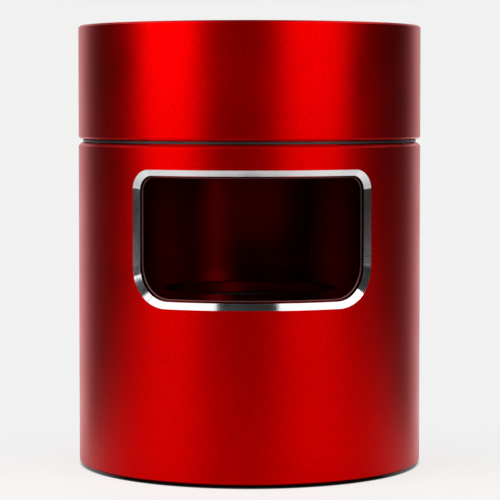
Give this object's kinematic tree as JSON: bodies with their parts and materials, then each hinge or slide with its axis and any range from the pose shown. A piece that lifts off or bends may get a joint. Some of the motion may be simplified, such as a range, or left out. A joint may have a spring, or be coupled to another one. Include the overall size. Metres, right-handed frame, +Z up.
{
  "type": "canister",
  "caption": "Round lidded canister with a bevel-framed window opening, a revolving shutter inside that the lid turns, and a plugged lower chamber.",
  "frame": {"origin": "middle of the underside, on the surface that the foot ring stands on", "axes": "+Z up along the canister's axis; the window faces -Y; +X is to the right seen from the front"},
  "size_m": [0.063, 0.063, 0.0804],
  "materials": {
    "red_anodised": "bead-blasted and red anodised, satin, with bright diamond-cut bevels at the window",
    "black_nylon": "moulded, satin",
    "black_rubber": "matte",
    "white_ptfe": "waxy, turned",
    "steel": "fine turned"
  },
  "bodies": {
    "canister_body": {"body_shell": "red_anodised", "base_plate": "red_anodised", "base_o_ring": "black_rubber", "base_screw_1": "steel", "base_screw_2": "steel", "base_screw_3": "steel", "base_screw_4": "steel", "foot_ring": "black_rubber", "floor_plate": "red_anodised", "floor_o_ring": "black_rubber", "drum_thrust_ring": "white_ptfe", "slip_ring": "black_nylon"},
    "shutter_drum": {"shutter_sleeve": "red_anodised", "drum_collar": "red_anodised", "collar_pin_1": "steel", "collar_pin_2": "steel", "collar_pin_3": "steel", "drum_snap_ring": "steel", "collar_o_ring": "black_rubber"},
    "lid": {"lid_shell": "red_anodised", "lid_drive_ring": "black_nylon", "lid_screw_1": "steel", "lid_screw_2": "steel", "lid_screw_3": "steel", "lid_seal": "black_rubber"},
    "plug": {"floor_plug": "red_anodised", "plug_seal": "black_rubber"}
  },
  "joints": [
    {"name": "lid_turn", "type": "hinge", "parent": "canister_body", "child": "shutter_drum", "pos_m": [0, 0, 0.0296], "axis": [0, 0, 1], "continuous": true},
    {"name": "lid_lift", "type": "slide", "parent": "shutter_drum", "child": "lid", "axis": [0, 0, 1], "range_m": [0, 0.026]},
    {"name": "plug_lift", "type": "slide", "parent": "canister_body", "child": "plug", "axis": [0, 0, 1], "range_m": [0, 0.03]}
  ]
}
